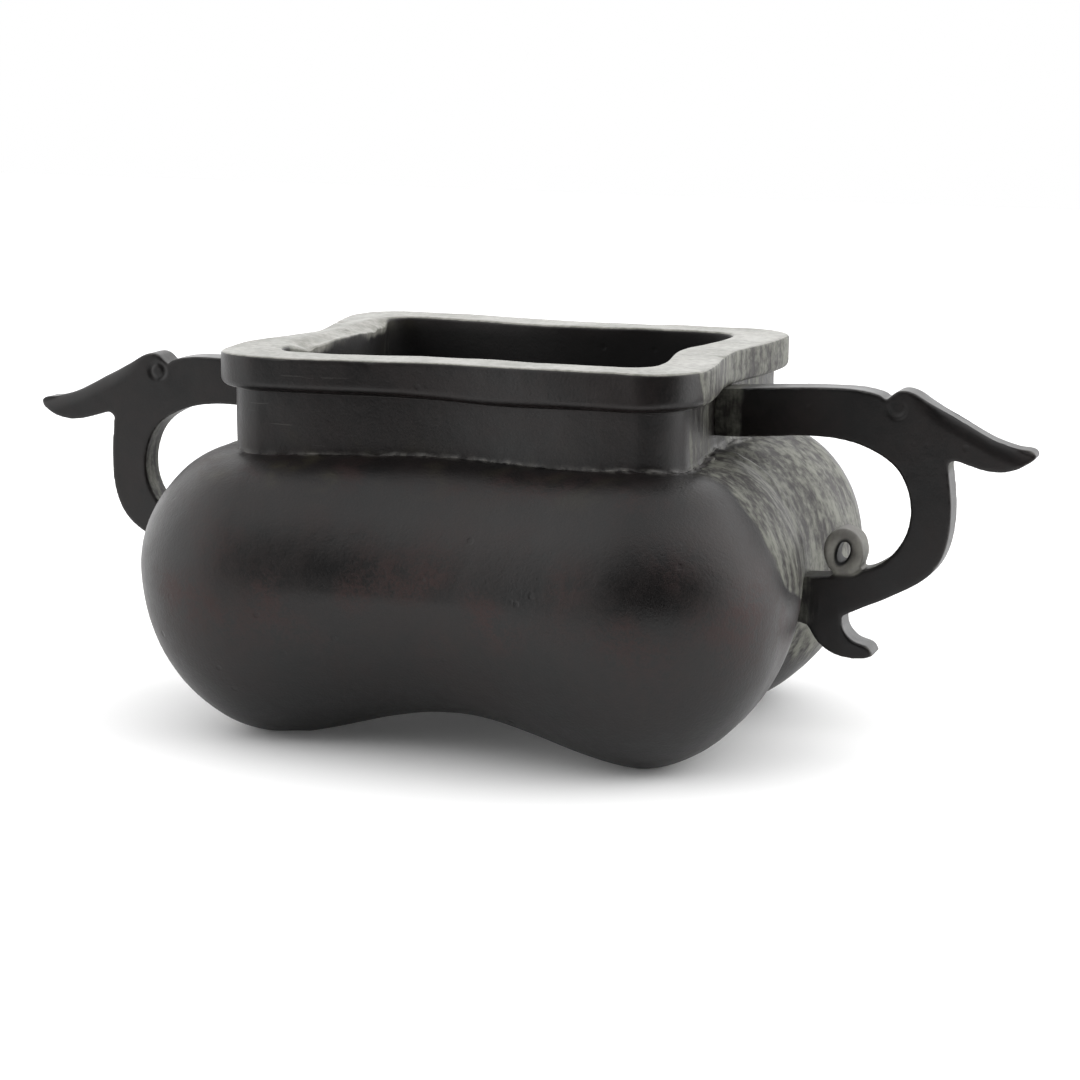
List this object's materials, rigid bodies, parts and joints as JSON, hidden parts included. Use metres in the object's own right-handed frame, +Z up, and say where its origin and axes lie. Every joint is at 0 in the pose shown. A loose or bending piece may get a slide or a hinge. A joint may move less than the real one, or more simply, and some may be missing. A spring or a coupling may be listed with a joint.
{
  "type": "bronze censer",
  "caption": "Four-lobed open bronze censer with a straight neck, a thick flat lip and two flat plate handles shaped as trunked heads.",
  "frame": {"origin": "on the ground under the middle of the censer", "axes": "+X from the vessel's middle to the right handle's tip, +Y to the back, +Z up"},
  "size_m": [0.2308, 0.124, 0.0831],
  "materials": {
    "vessel_bronze": "cast bronze with a satin dark brown patina, reddish low on the belly and grey-green at the ends",
    "handle_bronze": "cast bronze with a near-black patina, worn grey along the edges"
  },
  "bodies": {
    "root": {"vessel": "vessel_bronze", "handle_left": "handle_bronze", "handle_right": "handle_bronze"}
  },
  "joints": []
}
